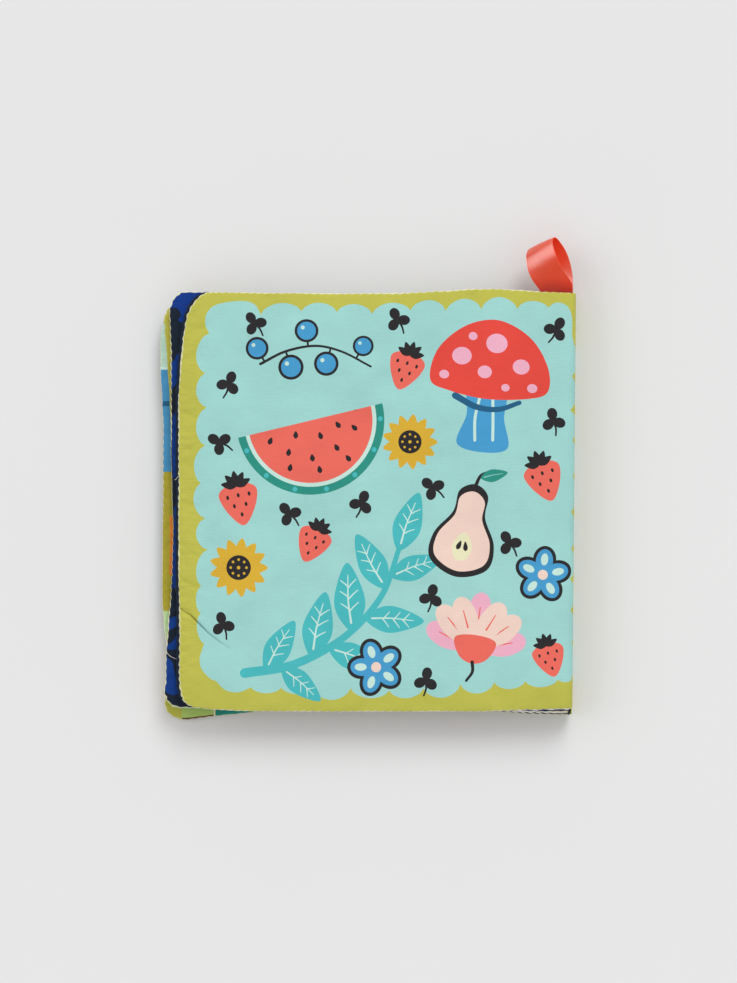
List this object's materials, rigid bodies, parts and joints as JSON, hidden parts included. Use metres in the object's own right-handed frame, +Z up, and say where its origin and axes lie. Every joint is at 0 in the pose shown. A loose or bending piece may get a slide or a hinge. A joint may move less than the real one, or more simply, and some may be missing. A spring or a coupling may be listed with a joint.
{
  "type": "baby soft book",
  "caption": "Square padded cloth book for a baby: printed fabric leaves hinged on a sewn spine, with a looped satin ribbon tab.",
  "frame": {"origin": "centre of the underside of the closed book's bounding box, on the surface it lies on", "axes": "+Z up out of the back cover, +X towards the spine, +Y towards the head of the book, where the ribbon loop is"},
  "size_m": [0.1826, 0.2102, 0.0215],
  "materials": {
    "lime_print": "printed brushed polyester",
    "aqua_print": "printed brushed polyester",
    "navy_print": "printed brushed polyester",
    "sky_print": "printed brushed polyester",
    "grass_print": "printed brushed polyester",
    "yellow_print": "printed brushed polyester",
    "wadding": "polyester wadding",
    "film": "thin crinkle film",
    "ribbon": "woven satin ribbon",
    "thread": "spun polyester thread"
  },
  "bodies": {
    "front_leaf": {"front_cover_cloth": "lime_print", "page_1_cloth": "grass_print", "front_leaf_wadding": "wadding", "front_leaf_crinkle_film": "film", "binding_thread": "thread"},
    "second_leaf": {"page_2_cloth": "sky_print", "page_3_cloth": "aqua_print", "second_leaf_wadding": "wadding", "second_leaf_crinkle_film": "film"},
    "third_leaf": {"page_4_cloth": "yellow_print", "page_5_cloth": "navy_print", "third_leaf_wadding": "wadding", "third_leaf_crinkle_film": "film"},
    "back_leaf": {"page_6_cloth": "navy_print", "back_cover_cloth": "aqua_print", "back_leaf_wadding": "wadding", "back_leaf_crinkle_film": "film"},
    "ribbon": {"ribbon_loop": "ribbon"}
  },
  "joints": [
    {"name": "second_leaf_turn", "type": "hinge", "parent": "front_leaf", "child": "second_leaf", "pos_m": [0.09102, -0.01026, 0.00965], "axis": [0, 1, 0], "range_deg": [0, 180]},
    {"name": "third_leaf_turn", "type": "hinge", "parent": "second_leaf", "child": "third_leaf", "pos_m": [0.09102, -0.01026, 0.00965], "axis": [0, 1, 0], "range_deg": [0, 180]},
    {"name": "back_leaf_turn", "type": "hinge", "parent": "third_leaf", "child": "back_leaf", "pos_m": [0.09102, -0.01026, 0.00965], "axis": [0, 1, 0], "range_deg": [0, 180]},
    {"name": "ribbon_flex", "type": "hinge", "parent": "back_leaf", "child": "ribbon", "pos_m": [0.08223, 0.08174, 0.017], "axis": [1, 0, 0], "range_deg": [-45, 60], "stiffness_Nm_per_rad": 0.001}
  ]
}
